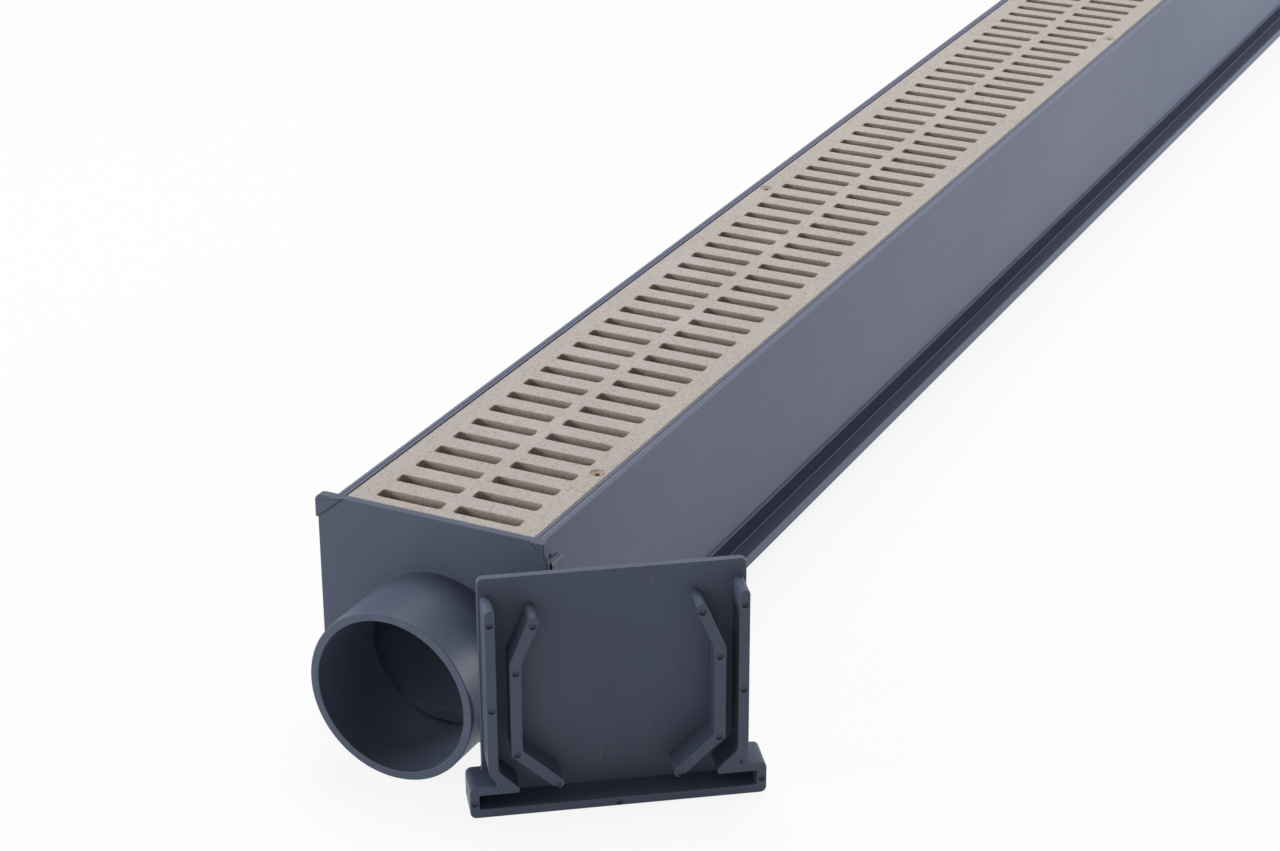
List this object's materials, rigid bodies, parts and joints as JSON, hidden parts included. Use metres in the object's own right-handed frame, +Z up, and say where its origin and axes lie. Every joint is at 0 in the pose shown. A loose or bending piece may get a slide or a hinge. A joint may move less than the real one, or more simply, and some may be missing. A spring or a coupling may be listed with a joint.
{
  "type": "channel drain",
  "caption": "Linear drainage channel: slotted grate lying in a braced trough, pipe outlet fitting pushed on one end, and a loose blank end cap standing beside it",
  "frame": {"origin": "on the floor that the fittings stand on, on the centreline of the trough, at its near end, where the outlet's plate meets it", "axes": "+X across the trough to the right when looking along it from the outlet, +Y along the trough away from the outlet, +Z up"},
  "size_m": [0.2375, 1.8841, 0.118],
  "materials": {
    "trough_plastic": "extruded, satin",
    "grate_plastic": "moulded, fine grain",
    "fitting_plastic": "moulded, satin"
  },
  "bodies": {
    "root": {"channel_body": "trough_plastic", "grate": "grate_plastic", "end_outlet": "fitting_plastic", "end_cap": "fitting_plastic"}
  },
  "joints": []
}
